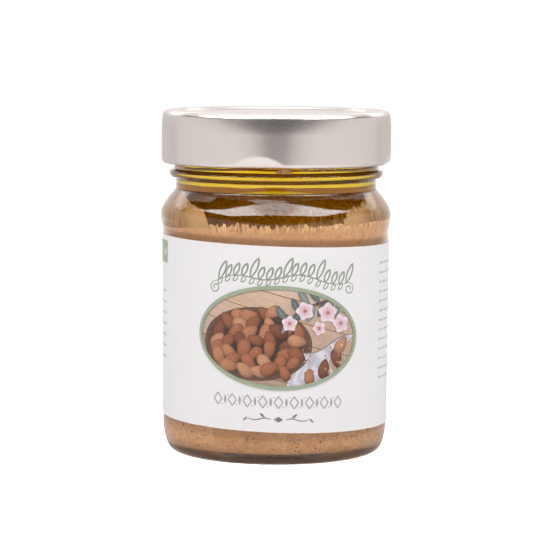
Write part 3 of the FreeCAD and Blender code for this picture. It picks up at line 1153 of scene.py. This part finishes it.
def panel_material():
    """Lamps behind a soft panel, dimmer in the middle, with a faint seam and a dark oval opening. Past an
    arc it is a ceiling that fades backwards, and far out it is bright. Places are metres from the jar."""
    n = Nodes("overhead_panel")
    seam_front, opening_back, opening_half_width, opening_half_depth = 0.345, 0.372, 0.87, 0.605
    x, y, _ = n.axes()
    out = n.math("ABSOLUTE", x)
    lamps = n.ramp(out, 0.14, 0.26, 5.5, 10.5)
    fall = n.ramp(out, 0.62, 1.38, 1.0, 0.5)
    seam = n.ramp(n.math("ABSOLUTE", n.math("ADD", y, seam_front)), 0.003, 0.02, 0.55, 1.0)
    beside_seam = n.ramp(out, 0.22, 0.34)
    across = n.math("DIVIDE", out, opening_half_width)
    along = n.math("DIVIDE", n.math("SUBTRACT", y, opening_back), opening_half_depth)
    round_off = n.math("ADD", n.math("POWER", across, 2.3), n.times(along, along))
    opening = n.ramp(round_off, 0.95, 1.05)
    wings = n.ramp(y, -0.13, 0.05, 1.0, 0.2)
    front = n.times(lamps, fall, n.math("MAXIMUM", seam, beside_seam), opening, wings)
    aside = n.math("ABSOLUTE", n.math("ADD", x, 0.033))
    arc_line = n.math("ADD", -0.26, n.times(n.math("POWER", aside, 2.35), 1.5))
    arc_line = n.math("MAXIMUM", arc_line, n.ramp(aside, 0.06, 0.42, -0.25, 0.06))
    past_arc = n.ramp(n.math("SUBTRACT", y, arc_line), -0.01, 0.03)
    ceiling = n.times(past_arc, n.ramp(y, -0.2, 0.35, 3.8, 0.9))
    far_side = n.ramp(out, 0.85, 1.36, 0.0, 2.6)
    light = n.math("MAXIMUM", n.math("MAXIMUM", front, ceiling), far_side)
    return n.finish(n.add("Emission", Strength=light).outputs[0])


def floor_material():
    """White all over for the camera; to the glass and metal it is brighter further behind the jar. Under
    the jar it does not glow, a painted contact shadow.
    """
    n = Nodes("white_floor")
    paper = n.mix(n.noise(8.0, detail=2.0), (0.78, 0.78, 0.78, 1), (0.80, 0.80, 0.80, 1))
    white = n.add("BsdfDiffuse", Color=paper)
    behind = n.ramp(n.axes()[1], 0.0, 0.7, 0.0, 0.9)
    from_axis = n.reading("VectorMath", None, {"operation": "LENGTH"})
    # painted contact shadow: no glow within the jar's foot
    clear = n.ramp(from_axis.outputs["Value"], 0.029, 0.034)
    seen = n.add("LightPath").outputs["Is Camera Ray"]
    glow = n.add("Emission", Color=WHITE, Strength=n.times(n.math("MAXIMUM", behind, seen), clear))
    return n.finish(n.fill(n.add("AddShader"), white.outputs[0], glow.outputs[0]))


def side_card_material():
    """Lit behind an edge that leans backwards as it rises."""
    n = Nodes("side_card")
    _, y, z = n.axes()
    lit = n.ramp(n.math("SUBTRACT", y, n.times(z, 9.0)), -2.4, -1.9)
    return n.finish(n.add("Emission", Strength=n.times(lit, 0.8)).outputs[0])


def shade_material():
    """Painted shade: a dark card that the clear base of the jar shows from behind."""
    n = Nodes("low_shade")
    return n.finish(n.add("Emission", Color=(0.07, 0.048, 0.044, 1)).outputs[0])


def studio():
    level_card("floor", (-FLOOR_HALF_WIDTH, FLOOR_FRONT), (FLOOR_HALF_WIDTH, FLOOR_BACK), 0,
               floor_material(), ALL_RAYS)
    level_card("panel", (-PANEL_HALF_WIDTH, PANEL_FRONT), (PANEL_HALF_WIDTH, PANEL_BACK), PANEL_HEIGHT,
               panel_material(), MIRRORED)
    for out, name in ((-FLOOR_HALF_WIDTH, "side_card_left"), (FLOOR_HALF_WIDTH, "side_card_right")):
        upright_card(name, (out, SIDE_CARD_FRONT), (out, SIDE_CARD_BACK), SIDE_CARD_FOOT, SIDE_CARD_TOP,
                     side_card_material(), MIRRORED)
    upright_card("low_shade", (-SHADE_HALF_WIDTH, SHADE_BACK), (SHADE_HALF_WIDTH, SHADE_BACK), 0, SHADE_TOP,
                 shade_material(), ("transmission",))
    light = bpy.data.lights.new("softbox", "AREA")
    light.shape = "RECTANGLE"
    light.size = 2 * PANEL_HALF_WIDTH * MM
    light.size_y = (SOFTBOX_BACK - PANEL_FRONT) * MM
    light.energy = LAMP_RADIANCE * math.pi * light.size * light.size_y
    lamp = new_object("softbox", light)
    lamp.location = Vector((0, (PANEL_FRONT + SOFTBOX_BACK) / 2, PANEL_HEIGHT)) * MM
    lamp.visible_camera = lamp.visible_glossy = lamp.visible_transmission = False


def world():
    """White behind the jar and for the camera, and dark in front of it and above. The metal sees a brighter
    band above the horizon, at the sides and behind."""
    n = Nodes("studio", for_world=True)
    _, back, up = n.axes(n.add("TexCoord").outputs["Generated"])
    level = n.fill(n.add("Math", {"operation": "MULTIPLY_ADD", "use_clamp": True}), back, 0.95, 0.12)
    raised = n.ramp(back, -0.27, -0.12, 0.0, 1.15)
    share = n.ramp(up, 0.0, 0.25)
    under_top = n.ramp(up, 0.50, 0.64, 1.0, 0.0)
    light = n.math("ADD", n.times(level, n.math("SUBTRACT", 1.0, share)), n.times(raised, share))
    light = n.math("ADD", 0.02, n.times(light, under_top))
    path = n.add("LightPath")
    band = n.times(path.outputs["Is Glossy Ray"], n.ramp(up, 0.3, 0.42, 0.0, 1.3), raised, under_top)
    strength = n.math("MAXIMUM", n.math("ADD", light, band), path.outputs["Is Camera Ray"])
    bpy.context.scene.world = n.finish(n.add("Background", Color=WHITE, Strength=strength).outputs[0])


def camera():
    data = bpy.data.cameras.new("camera")
    data.sensor_width = 36.0
    data.lens = 160.71
    data.clip_start = 0.01
    piece = new_object("camera", data)
    piece.location = Vector(CAMERA_PLACE) * MM
    piece.rotation_euler = (CAMERA_PITCH, 0, 0)
    piece.rotation_euler.rotate_axis("Z", CAMERA_ROLL)
    bpy.context.scene.camera = piece


def render_look():
    scene = bpy.context.scene
    scene.view_settings.view_transform = "Standard"
    scene.cycles.max_bounces = 24
    scene.cycles.transmission_bounces = 20
    scene.cycles.transparent_max_bounces = 24
    scene.cycles.glossy_bounces = 8
    scene.cycles.diffuse_bounces = 5
    scene.cycles.sample_clamp_indirect = 8.0


camera()
render_look()
world()
studio()
glass_jar()
almond_butter()
oil()
smears()
shoulder_film()
label()
label_picture()
label_ornaments()
lid()
